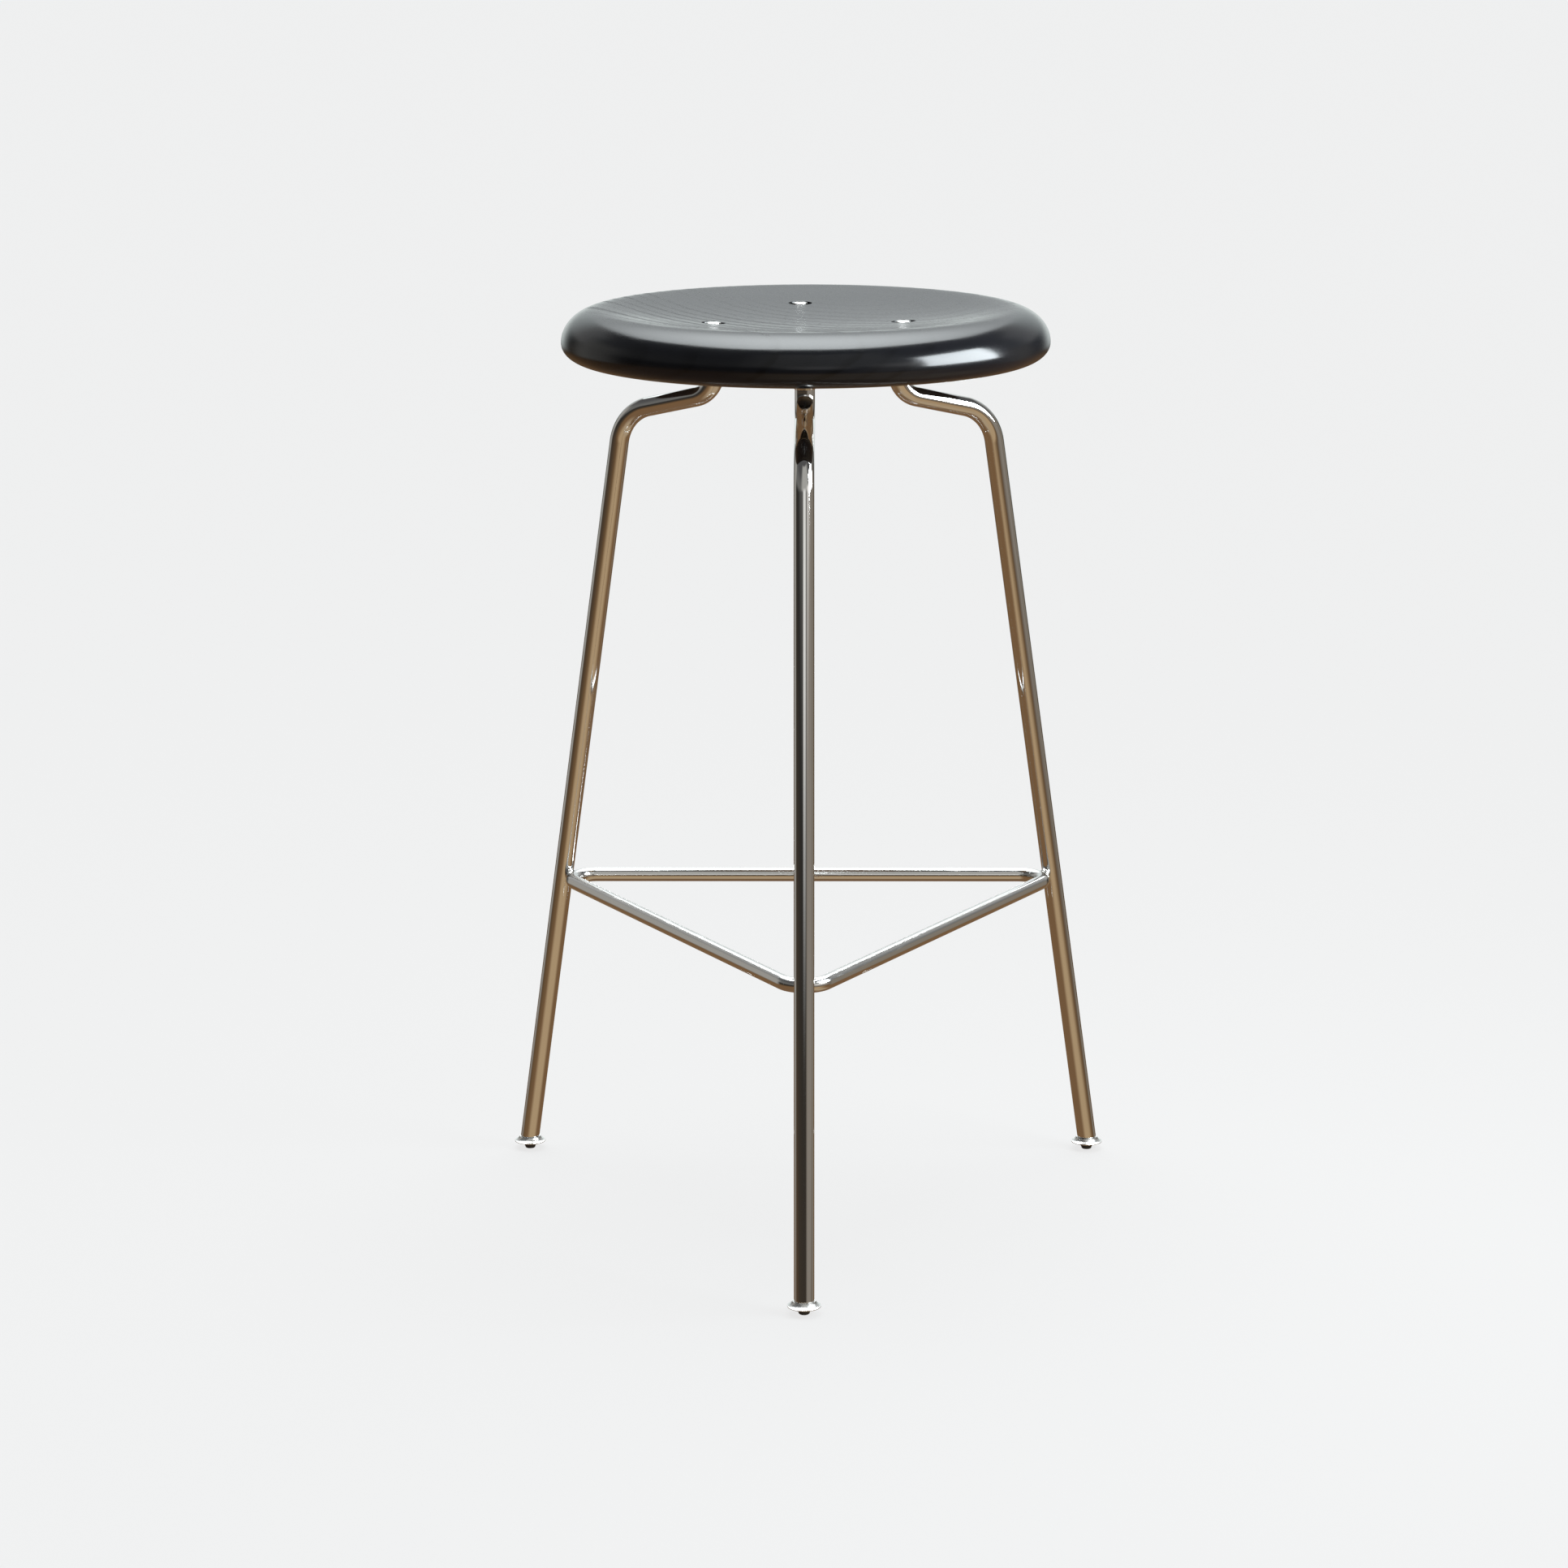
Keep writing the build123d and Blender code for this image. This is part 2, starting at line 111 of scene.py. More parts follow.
class Graph:
    """A node tree that is being wired."""

    def __init__(self, tree: bpy.types.NodeTree) -> None:
        """Empties a tree and starts in it."""
        self.tree = tree
        tree.nodes.clear()

    def add(
        self,
        kind: str,
        settings: dict[str, object] | None = None,
        values: Sockets | None = None,
        output: str | int = 0,
    ) -> Wire | None:
        """Adds any node.

        Args:
            kind: The node's type.
            settings: The node's own properties. Under "stops" are a ramp's, in rising order.
            values: What each socket is set to or linked from.
            output: The output that is wanted.

        Returns:
            That output, or nothing from a node that has none.
        """
        node = self.tree.nodes.new(kind)
        for name, setting in (settings or {}).items():
            if name != "stops":
                setattr(node, name, setting)
                continue
            stops = node.color_ramp.elements
            while len(stops) < len(setting):
                stops.new(1.0)
            for stop, (place, colour) in zip(stops, setting):
                stop.position, stop.color = place, (*colour, 1.0)
        for name, value in (values or {}).items():
            if isinstance(value, Wire):
                self.tree.links.new(value.socket, node.inputs[name])
            else:
                node.inputs[name].default_value = value
        return Wire(self, node.outputs[output]) if node.outputs else None

    def spot(self) -> Wire:
        """The point on the piece, in the stool's own frame."""
        return self.add("ShaderNodeTexCoord", output="Object")

    def split(self, vector: Wire) -> tuple[Wire, Wire, Wire]:
        """The three parts of a vector."""
        x = self.add("ShaderNodeSeparateXYZ", values={0: vector})
        return x, *(Wire(self, other) for other in x.socket.node.outputs[1:])

    def turned(self, spot: Wire, turn: float) -> Wire:
        """A point after a turn in degrees about the upright."""
        values = {"Vector": spot, "Rotation": (0, 0, radians(turn))}
        return self.add("ShaderNodeMapping", {"vector_type": "POINT"}, values)

    def stretched(self, spot: Wire, scale: Triple) -> Wire:
        """A point on scaled axes."""
        return self.add("ShaderNodeVectorMath", {"operation": "MULTIPLY"}, {0: spot, 1: scale})

    def noise(self, spot: Wire, scale: Triple | float, detail: float = 2.0) -> Wire:
        """Cloudy noise.

        Args:
            spot: Where it is read.
            scale: Features per metre, along each axis or along all three.
            detail: How many finer layers are added.

        Returns:
            A value about one half.
        """
        if isinstance(scale, tuple):
            spot, scale = self.stretched(spot, scale), 1.0
        values = {"Vector": spot, "Scale": scale, "Detail": detail}
        return self.add("ShaderNodeTexNoise", values=values)

    def blend(self, share: Wire | float, first: Wire | Triple, second: Wire | Triple) -> Wire:
        """A colour between two."""
        first, second = (c if isinstance(c, Wire) else (*c, 1.0) for c in (first, second))
        return self.add("ShaderNodeMix", {"data_type": "RGBA"}, {0: share, 6: first, 7: second}, 2)

    def bump(self, height: Wire, depth: float, strength: float) -> Wire:
        """The normal over a relief of a depth in metres."""
        values = {"Height": height, "Distance": depth, "Strength": strength}
        return self.add("ShaderNodeBump", values=values)


# ---- Finishes
class Finish:
    """A surface finish that is wired once and shared by every piece that has it."""

    name = "finish"
    slot = ""

    def material(self) -> bpy.types.Material:
        """Wires the finish when it is first asked for.

        Returns:
            The one material of this name.
        """
        made = bpy.data.materials.get(self.name)
        if made is None:
            made = bpy.data.materials.new(self.name)
            made.use_nodes = True
            graph = Graph(made.node_tree)
            shader = graph.add("ShaderNodeBsdfPrincipled", values=self.surface(graph))
            graph.add("ShaderNodeOutputMaterial", values={"Surface": shader})
        return made

    def surface(self, graph: Graph) -> Sockets:
        """What the shader's sockets are set to or linked from."""
        raise NotImplementedError


@dataclass(frozen=True)
class StainedAsh(Finish):
    """Ash turned to a dish, stained black and lacquered, with its pores left open.

    The grain lies along the turned X axis. The growth rings lie round a heart that dives below
    the board. Their lines open up from plain_from to open_from, on the board's left.
    """

    name = "stained_ash"
    slot = "black_wood"
    grain_turn: float = 66.0
    heart: Triple = (-0.044, 0.120, 0.642)
    dive: float = 0.5
    ring_width: float = 0.0138
    sway: float = 0.018
    drift: float = 0.002
    plain_from: float = 0.10
    open_from: float = -0.06
    plainest: float = 0.22
    level: Pair = (0.94, 0.995)
    pore_depth: float = 0.00003
    late_wood: Triple = (0.0050, 0.0052, 0.0064)
    early_wood: Triple = (0.0022, 0.0023, 0.0029)
    pores: Triple = (0.0015, 0.0015, 0.002)
    gloss: float = 0.13
    reflectance: float = 0.36

    def rings(self, graph: Graph, spot: Wire, turned: Wire) -> Wire:
        """Finds the open early wood of each year.

        Args:
            graph: The graph that it joins.
            spot: The point on the board.
            turned: The point with X along the grain.

        Returns:
            From 0 in late wood to 1 in the openest early wood.
        """
        x, y, _ = graph.split(spot)
        patch = graph.noise(spot, 14.0, 1.0) * 0.10 - 0.05
        leftness = x + y * 0.45 + patch
        open_pored = leftness.step(self.plain_from, self.open_from, self.plainest, 1.0)
        along, across, up = graph.split(turned)
        sway = graph.noise(turned, (5.0, 12.0, 12.0)) - 0.5
        drift = graph.noise(turned, (30.0, 90.0, 90.0), 1.0) - 0.5
        side = across - self.heart[1]
        below = up - self.heart[2] + (along - self.heart[0]) * self.dive
        radius = (side * side + below * below).maths("SQRT")
        rings = (radius + sway * self.sway + drift * self.drift) / self.ring_width
        age = rings.maths("FRACT")
        year = {"W": rings.maths("FLOOR")}
        chance = graph.add("ShaderNodeTexWhiteNoise", {"noise_dimensions": "1D"}, year)
        vigour = chance * 0.75 + 0.25
        return age.step(0.0, 0.08) * age.step(0.50, 0.12) * vigour * open_pored

    def surface(self, graph: Graph) -> Sockets:
        """Early wood and pores that lie a little lower and duller on the level parts."""
        spot = graph.spot()
        _, _, facing = graph.split(graph.add("ShaderNodeNewGeometry", output="Normal"))
        flat = facing.step(*self.level)
        turned = graph.turned(spot, self.grain_turn)
        early = self.rings(graph, spot, turned)
        pore_field = graph.noise(turned, (130.0, 2300.0, 2300.0), 1.0)
        pore = (pore_field + early * 0.12).step(0.60, 0.68)
        fibre = graph.noise(turned, (45.0, 1100.0, 1100.0), 3.0)
        cloud = graph.noise(spot, 22.0)
        shade = (early * 0.6 + fibre * 0.35).step(0.1, 0.9)
        wood = graph.blend(shade, self.late_wood, self.early_wood)
        height = fibre * 0.10 - early * flat * 0.30 - pore * (flat * 0.5 + 0.2)
        dull = early * (flat * 0.24 + 0.02) + pore * (flat * 0.2 + 0.05)
        return {
            "Base Color": graph.blend(pore, wood, self.pores),
            "Roughness": self.gloss + cloud * 0.05 + dull,
            "Normal": graph.bump(height, self.pore_depth, 0.6),
            "Specular IOR Level": self.reflectance,
        }


@dataclass(frozen=True)
class ChromePlate(Finish):
    """Polished chrome over steel, with faint draw lines, and rubbed patches where feet rest."""

    name = "chrome_plate"
    slot = "chrome"
    colour: Triple = (0.80, 0.79, 0.775)
    haze: float = 0.0
    rubbed: float = 0.0

    def surface(self, graph: Graph) -> Sockets:
        """A near mirror that clouds, fine lines and rubbing dull a little."""
        spot = graph.spot()
        cloud = graph.noise(spot, 35.0, 3.0)
        lines = graph.noise(spot, (1500.0, 1500.0, 14.0))
        fine = graph.noise(spot, 260.0)
        rough = 0.035 + self.haze + cloud * 0.03 + lines.step(0.55, 0.8) * 0.05
        if self.rubbed:
            scuff = graph.noise(spot, (60.0, 60.0, 900.0), 3.0)
            patch = graph.noise(spot, 16.0).step(0.45, 0.62)
            _, _, up = graph.split(graph.add("ShaderNodeNewGeometry", output="Normal"))
            worn = up.step(-0.1, 0.7)
            rough = rough + worn * self.rubbed + scuff.step(0.5, 0.72) * patch * worn * self.rubbed
        height = fine * 0.5 + lines * 0.5
        return {
            "Base Color": graph.blend(cloud, self.colour, tuple(0.95 * c for c in self.colour)),
            "Metallic": 1.0,
            "Roughness": rough,
            "Normal": graph.bump(height, 0.000006, 0.6),
        }


@dataclass(frozen=True)
class RubbedChrome(ChromePlate):
    """Chrome plate on which shoes have rubbed."""

    name = "chrome_rubbed"
    rubbed: float = 0.12


@dataclass(frozen=True)
class HazedChrome(ChromePlate):
    """Chrome plate that the floor has dulled."""

    name = "chrome_hazed"
    haze: float = 0.22


@dataclass(frozen=True)
class ZincPlate(Finish):
    """Zinc plating on pressed or turned steel, with its faint spangle and turning marks."""

    name = "zinc_plate"
    slot = "zinc_steel"
    mark_width: float = 0.00045

    def surface(self, graph: Graph) -> Sockets:
        """Spangles of slightly different grey, and rings about the seat's axis."""
        spot = graph.spot()
        x, y, _ = graph.split(spot)
        x_off, y_off = x - AXIS.x, y - AXIS.y
        radius = (x_off * x_off + y_off * y_off).maths("SQRT")
        sway = graph.noise(spot, 220.0)
        marks = (radius * (2 * pi / self.mark_width) + sway * 3.0).maths("SINE")
        cells = {"Vector": spot, "Scale": 190.0}
        spangle = graph.add("ShaderNodeTexVoronoi", values=cells, output="Color")
        tone, hue, _ = graph.split(spangle)
        stain = graph.noise(spot, 30.0, 4.0)
        grey = graph.blend(tone, (0.50, 0.51, 0.525), (0.62, 0.63, 0.64))
        tint = graph.blend(hue * 0.35, grey, (0.60, 0.57, 0.48))
        return {
            "Base Color": graph.blend(stain.step(0.55, 0.8) * 0.4, tint, (0.36, 0.355, 0.34)),
            "Metallic": 1.0,
            "Roughness": 0.26 + tone * 0.10 + stain * 0.12,
            "Normal": graph.bump(marks * 0.3 + sway * 0.7, 0.00002, 0.5),
        }


@dataclass(frozen=True)
class HardenedSteel(Finish):
    """Ground and polished bearing steel under a film of grease."""

    name = "hardened_steel"
    slot = "bearing_steel"

    def surface(self, graph: Graph) -> Sockets:
        """Bright steel that grease browns in patches."""
        grease = graph.noise(graph.spot(), 240.0, 3.0).step(0.42, 0.66)
        return {
            "Base Color": graph.blend(grease, (0.66, 0.67, 0.69), (0.34, 0.27, 0.17)),
            "Metallic": 1.0,
            "Roughness": 0.07 + grease * 0.22,
        }


@dataclass(frozen=True)
class OiledBronze(Finish):
    """Sintered bronze, dark with oil."""

    name = "oiled_bronze"
    slot = "bronze"

    def surface(self, graph: Graph) -> Sockets:
        """Grainy bronze with darker oily pores."""
        spot = graph.spot()
        pits = graph.noise(spot, 2600.0).step(0.35, 0.6)
        cloud = graph.noise(spot, 160.0)
        return {
            "Base Color": graph.blend(cloud * 0.6, (0.58, 0.40, 0.17), (0.30, 0.19, 0.07)),
            "Metallic": 1.0,
            "Roughness": 0.30 + pits * 0.15,
            "Normal": graph.bump(pits, 0.00004, 0.6),
        }


@dataclass(frozen=True)
class Moulding(Finish):
    """Injection-moulded nylon with a fine grain from the mould, scuffed where it is worn."""

    name: str = "moulded_black"
    slot: str = "black_plastic"
    colour: Triple = (0.011, 0.011, 0.012)
    worn: Triple = (0.055, 0.052, 0.048)
    wear_height: float = 0.0016

    def surface(self, graph: Graph) -> Sockets:
        """Fine grain all over, and dusty scratches low down."""
        spot = graph.spot()
        _, _, z = graph.split(spot)
        grain = graph.noise(spot, 2400.0)
        scratch = graph.noise(spot, (1900.0, 500.0, 3000.0), 3.0).step(0.52, 0.66)
        scuff = scratch * z.step(self.wear_height, 0.0)
        return {
            "Base Color": graph.blend(scuff, self.colour, self.worn),
            "Roughness": 0.42 + grain * 0.12 + scuff * 0.2,
            "Normal": graph.bump(grain, 0.00003, 0.5),
        }


# ---- Shaping
def only(kind: type, geom: Sequence) -> list:
    """The corners or the edges among some geometry."""
    return [g for g in geom if isinstance(g, kind)]


class Blank:
    """A mesh on the bench, in metres and in the stool's own frame."""

    merge_gap = 1e-6

    def __init__(self) -> None:
        """Starts with nothing on the bench."""
        self.bm = bmesh.new()

    def turned(self, profile: Sequence[Pair], centre: Vector, steps: int) -> "Blank":
        """Adds a piece turned about an upright axis.

        Args:
            profile: Radii and heights, in order along the outline.
            centre: A point on the axis, from which the heights count.
            steps: Facets in the round.

        Returns:
            This blank.
        """
        knots = [self.bm.verts.new(centre + Vector((r, 0, z))) for r, z in profile]
        sides = [self.bm.edges.new(pair) for pair in zip(knots, knots[1:])]
        self.spun(knots + sides, centre, UP, 2 * pi, steps, use_merge=True)
        return self.tidied()

    def spun(
        self, geom: list, hub: Vector, axis: Vector, turn: float, steps: int, **more: object
    ) -> list:
        """Sweeps corners and edges round an axis, and gives the last ones of the turn."""
        spec = {"geom": geom, "cent": hub, "axis": axis, "angle": turn, "steps": steps, **more}
        return bmesh.ops.spin(self.bm, **spec)["geom_last"]

    def circle(self, radius: float, sides: int, seat: Matrix) -> tuple[list, list]:
        """Adds a circle square to the Z axis of its seat, and gives its corners and edges."""
        made = bmesh.ops.create_circle(self.bm, radius=radius, segments=sides, matrix=seat)
        return made["verts"], list(dict.fromkeys(e for v in made["verts"] for e in v.link_edges))

    def cut(self, height: float, above: bool = False, below: bool = False) -> list:
        """Cuts at a height, may clear what lies above or below, and gives what is in the cut."""
        return bmesh.ops.bisect_plane(
            self.bm,
            geom=self.bm.verts[:] + self.bm.edges[:] + self.bm.faces[:],
            plane_co=UP * height,
            plane_no=UP,
            clear_outer=above,
            clear_inner=below,
        )["geom_cut"]

    def threaded(
        self, radius: float, depth: float, pitch: float, low: Vector, length: float
    ) -> "Blank":
        """Adds a threaded rod with a chamfered upper end and a flat lower one.

        Args:
            radius: Outer radius of the thread.
            depth: Radial depth of the thread.
            pitch: Rise of one turn.
            low: The middle of the lower end.
            length: Length of the rod.

        Returns:
            This blank.
        """
        root, steps, turns = radius - depth, 32, int(length / pitch) + 3
        tooth = ((root, 0.0), (radius, 0.36), (radius, 0.5), (root, 0.86), (root, 1.0))
        start = low - UP * pitch
        knots = [self.bm.verts.new(start + Vector((r, 0, z * pitch))) for r, z in tooth]
        sides = [self.bm.edges.new(pair) for pair in zip(knots, knots[1:])]
        rise = UP * pitch / steps
        self.spun(knots + sides, start, UP, 2 * pi * turns, steps * turns, dvec=rise)
        self.tidied()
        for height, top in ((low.z, False), (low.z + length, True)):
            rim = only(Edge, self.cut(height, above=top, below=not top))
            bmesh.ops.contextual_create(self.bm, geom=rim)
        for v in self.bm.verts:
            spare = (v.co.z - low.z) - (length - 2 * depth)
            limit = radius - spare
            arm = Vector((v.co.x - low.x, v.co.y - low.y, 0))
            if spare > 0 and arm.length > limit:
                v.co -= arm * (1 - limit / arm.length)
        return self.tidied()

    def bent_bar(
        self,
        radius: float,
        corners: Sequence[Vector],
        bends: Sequence[float],
        sides: int,
        closed: bool = False,
    ) -> "Blank":
        """Adds a round bar or tube that runs straight between bends.

        Args:
            radius: The bar's radius.
            corners: The ends and the sharp corners of its axis, in order.
            bends: The bend radius at each corner after the first.
            sides: Facets round the bar.
            closed: Whether the last corner runs back to the first one.

        Returns:
            This blank.
        """
        first = (corners[0] + corners[1]) / 2 if closed else corners[0]
        course = [first, *corners[1:], corners[0], first] if closed else list(corners)
        heading = (course[1] - course[0]).normalized()
        seat = Matrix.Translation(first) @ heading.to_track_quat("Z", "Y").to_matrix().to_4x4()
        ring, edges = self.circle(radius, sides, seat)
        loop = ring + edges
        place = first.copy()
        for (corner, after), bend in zip(zip(course[1:], course[2:]), bends):
            onward = (after - corner).normalized()
            turn = heading.angle(onward)
            setback = bend * tan(turn / 2)
            loop = self.pushed(loop, corner - heading * setback - place)
            axis = heading.cross(onward).normalized()
            hub = corner - heading * setback + axis.cross(heading) * bend
            steps = max(8, round(degrees(turn) / 3))
            loop = self.spun(loop, hub, axis, turn, steps)
            place = corner + onward * setback
            heading = onward
        self.pushed(loop, course[-1] - place)
        return self.tidied()

    def pushed(self, loop: list, move: Vector) -> list:
        """Draws a loop out in a straight line.

        Args:
            loop: The loop's corners and edges.
            move: How far and which way.

        Returns:
            The loop at its end.
        """
        drawn = bmesh.ops.extrude_edge_only(self.bm, edges=only(Edge, loop))["geom"]
        verts = only(Vert, drawn)
        bmesh.ops.translate(self.bm, verts=verts, vec=move)
        return verts + [e for e in only(Edge, drawn) if set(e.verts) <= set(verts)]

    def tidied(self) -> "Blank":
        """Merges doubles and turns every face outwards.

        Returns:
            This blank.
        """
        bmesh.ops.remove_doubles(self.bm, verts=self.bm.verts, dist=self.merge_gap)
        bmesh.ops.recalc_face_normals(self.bm, faces=self.bm.faces)
        return self

    def piece(self, name: str, body: str, finish: Finish, *nodes: str, sharp: float) -> None:
        """Takes the mesh off the bench as a finished piece.

        Args:
            name: The piece's name.
            body: The body that it moves with.
            finish: Its finish.
            nodes: The plain nodes that it stands for.
            sharp: The angle in degrees past which an edge stays crisp.
        """
        mesh = bpy.data.meshes.new(name)
        self.bm.to_mesh(mesh)
        self.bm.free()
        mesh.shade_smooth()
        mesh.set_sharp_from_angle(angle=radians(sharp))
        mesh.materials.append(finish.material())
        made = bpy.data.objects.new(name, mesh)
        bpy.context.scene.collection.objects.link(made)
        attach(made, body)
        if nodes:
            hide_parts(*nodes)
        LOG.info("%s: %d faces on %s", name, len(mesh.polygons), body)


def dressed(finish: Finish, *nodes: str) -> None:
    """Gives plain nodes a finish and leaves their shapes alone.

    Args:
        finish: The finish.
        nodes: The nodes' names.
    """
    for node in nodes:
        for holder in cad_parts[node].material_slots:
            holder.material = finish.material()
        LOG.info("%s: %s", node, finish.name)


def rippled(
    bm: bmesh.types.BMesh, centre: Vector, axis: Vector, ripples: int, depth: float, seed: int
) -> None:
    """Gives a round weld its overlapping ripples.

    Args:
        bm: The weld, a ring about the axis.
        centre: The ring's middle.
        axis: The ring's axis, of length one.
        ripples: How many ripples go round.
        depth: How deep they are.
        seed: Chooses their small irregularities.
    """
    chance = Random(seed)
    phase = [chance.uniform(-0.5, 0.5) for _ in range(ripples)]
    side = axis.orthogonal().normalized()
    bm.normal_update()
    for v in bm.verts:
        arm = v.co - centre
        angle = side.angle(arm - axis * arm.dot(axis), 0.0)
        turn = angle if axis.cross(side).dot(arm) > 0 else -angle
        share = (turn / (2 * pi)) % 1.0 * ripples
        wave = abs(sin(pi * (share + 0.15 * phase[int(share) % ripples])))
        v.co += v.normal * depth * (wave - 1)


# ---- Places
class Corner(Enum):
    """The three legs, by where they stand."""

    FRONT = "front"
    BACK_LEFT = "back_left"
    BACK_RIGHT = "back_right"

    @property
    def foot(self) -> Vector:
        """The point on the floor under the foot."""
        low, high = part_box(f"pad_{self.value}")
        return Vector(((low.x + high.x) / 2, (low.y + high.y) / 2, low.z))

    @property
    def outwards(self) -> Vector:
        """The level direction from the stool's axis to the foot."""
        arm = self.foot - AXIS
        return Vector((arm.x, arm.y, 0)).normalized()

    def at(self, radius: float, height: float) -> Vector:
        """A point at a radius and a height in the leg's own plane."""
        return AXIS + self.outwards * radius + UP * height


# ---- Seat
@dataclass
class Seat:
    """The dished board, with a recess round each bolt and a hollow for the swivel below."""

    dish_depth: float = 0.008
    dish_floor_inset: float = 0.045
    dish_rise_inset: float = 0.025
    edge_top_width: float = 0.031
    edge_bottom_width: float = 0.020
    edge_bottom_height: float = 0.0145
    underside_radii: Pair = (0.150, 0.125)
    hollow_radius: float = 0.106
    hollow_depth: float = 0.006
    hollow_edge: float = 0.0006
    hollow_middle: float = 0.060
    pocket_radius: float = 0.0125
    pocket_depth: float = 0.0076
    recess_radius: float = 0.0095
    recess_floor: float = 0.0015
    recess_edge: float = 0.0005
    recess_lip: float = 0.0024
    recess_margin: float = 0.0052
    bore_radius: float = 0.0032
    bore_depth: float = 0.01
    dish_steps: int = 48
    edge_top_steps: int = 30
    edge_bottom_steps: int = 18
    steps: int = 176
    finish: StainedAsh = field(default_factory=StainedAsh)

    @property
    def radius(self) -> float:
        """The widest radius."""
        return (SEAT_HIGH.x - SEAT_LOW.x) / 2

    def bolt_spots(self) -> list[Vector]:
        """Finds the bolts from the corners of the washers under their heads.

        Returns:
            The middle of each washer.
        """
        found: list[list[Vector]] = []
        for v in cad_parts["seat_bolt_washers"].data.vertices:
            near = next((g for g in found if (g[0] - v.co).length < 0.03), None)
            if near is None:
                found.append([v.co.copy()])
            else:
                near.append(v.co.copy())
        return [(Vector(map(min, zip(*g))) + Vector(map(max, zip(*g)))) / 2 for g in found]

    def dish(self) -> list[Pair]:
        """Draws the dish.

        Returns:
            Its outline from its middle out to the rim.
        """
        top, rim = SEAT_HIGH.z, self.radius - self.edge_top_width
        low = top - self.dish_depth
        radii = (0.0, rim - self.dish_floor_inset, rim - self.dish_rise_inset, rim)
        heights = (low, low, top, top)
        outline = []
        for i in range(self.dish_steps + 1):
            t = i / self.dish_steps
            shares = ((1 - t) ** 3, 3 * t * (1 - t) ** 2, 3 * t * t * (1 - t), t**3)
            outline.append(tuple(sum(map(mul, shares, knots)) for knots in (radii, heights)))
        return outline

    def outline(self) -> list[Pair]:
        """Draws the whole board.

        Returns:
            Its outline from the middle of the dish to the middle of the hollow.
        """
        widest = SEAT_LOW.z + self.edge_bottom_height
        rise = SEAT_HIGH.z - widest
        points = self.dish()
        for i in range(1, self.edge_top_steps + 1):
            turn = pi / 2 * i / self.edge_top_steps
            hub = self.radius - self.edge_top_width
            points.append((hub + self.edge_top_width * sin(turn), widest + rise * cos(turn)))
        for i in range(1, self.edge_bottom_steps + 1):
            turn = pi / 2 * i / self.edge_bottom_steps
            out = self.radius - self.edge_bottom_width + self.edge_bottom_width * cos(turn)
            points.append((out, widest - self.edge_bottom_height * sin(turn)))
        ceiling = SEAT_LOW.z + self.hollow_depth
        points += [(out, SEAT_LOW.z) for out in self.underside_radii]
        points += [
            (self.hollow_radius + self.hollow_edge, SEAT_LOW.z),
            (self.hollow_radius, SEAT_LOW.z + self.hollow_edge),
            (self.hollow_radius, ceiling),
            (self.hollow_middle, ceiling),
            (self.pocket_radius, ceiling),
            (self.pocket_radius, ceiling + self.pocket_depth),
            (0.0, ceiling + self.pocket_depth),
        ]
        return points

    def height_at(self, radius: float) -> float:
        """Reads the dish's height.

        Args:
            radius: How far from the axis.

        Returns:
            The height there.
        """
        outline = self.dish()
        for (r0, z0), (r1, z1) in zip(outline, outline[1:]):
            if radius <= r1:
                return z0 + (z1 - z0) * (radius - r0) / (r1 - r0)
        return outline[-1][1]

    def board(self) -> None:
        """Turns the board and sinks its bolt recesses."""
        blank = Blank().turned(self.outline(), AXIS, self.steps)
        for spot in self.bolt_spots():
            self._sink(blank.bm, spot)
        blank.tidied()
        blank.piece("seat_board_turned", "seat", self.finish, "seat_board", sharp=50.0)

    def _sink(self, bm: bmesh.types.BMesh, spot: Vector) -> None:
        """Sinks a round recess with a softened edge and a bore in its floor.

        Args:
            bm: The board.
            spot: The middle of the bolt.
        """
        reach = self.recess_radius + self.recess_margin
        floor = SEAT_HIGH.z - self.dish_depth - self.recess_floor
        arm = (spot - AXIS).xy
        inside = []
        for face in bm.faces:
            out = (face.calc_center_median() - AXIS).xy
            if face.normal.z > 0.5 and abs(out.length - arm.length) < reach:
                if out.dot(arm) > 0 and abs(out.angle(arm)) * arm.length < reach:
                    inside.append(face)
        bmesh.ops.delete(bm, geom=inside, context="FACES")
        rim = [e for e in bm.edges if e.is_boundary]
        bmesh.ops.subdivide_edges(bm, edges=rim, cuts=1)
        rim = [e for e in bm.edges if e.is_boundary]
        edge, recess = self.recess_edge, self.recess_radius
        softened = ((2.0, 0.0), (0.8, 0.14), (0.25, 0.5), (0.0, 1.3))
        rings = [(recess + self.recess_lip, 0.0)]
        rings += [(recess + out * edge, drop * edge) for out, drop in softened]
        for radius, drop in rings:
            rim = self._drawn(bm, rim, spot, radius)
            for v in {v for e in rim for v in e.verts}:
                v.co.z = self.height_at((v.co - AXIS).xy.length) - drop
        bore = self.bore_radius
        for radius, height in ((recess, floor), (bore, floor), (bore, floor - self.bore_depth)):
            rim = self._drawn(bm, rim, spot, radius)
            for v in {v for e in rim for v in e.verts}:
                v.co.z = height
        bmesh.ops.contextual_create(bm, geom=rim)

    @staticmethod
    def _drawn(bm: bmesh.types.BMesh, rim: list, spot: Vector, radius: float) -> list:
        """Draws a hole's rim in to a circle about an upright axis.

        Args:
            bm: The mesh with the hole.
            rim: The hole's border edges.
            spot: A point on the axis.
            radius: The circle's radius.

        Returns:
            The new border edges.
        """
        made = bmesh.ops.extrude_edge_only(bm, edges=rim)["geom"]
        corners = only(Vert, made)
        corners.sort(key=lambda v: atan2(v.co.y - spot.y, v.co.x - spot.x))
        first = corners[0].co - spot
        start = atan2(first.y, first.x)
        for i, v in enumerate(corners):
            turn = start + 2 * pi * i / len(corners)
            v.co = Vector((spot.x + radius * cos(turn), spot.y + radius * sin(turn), v.co.z))
        return [e for e in only(Edge, made) if e.is_boundary]

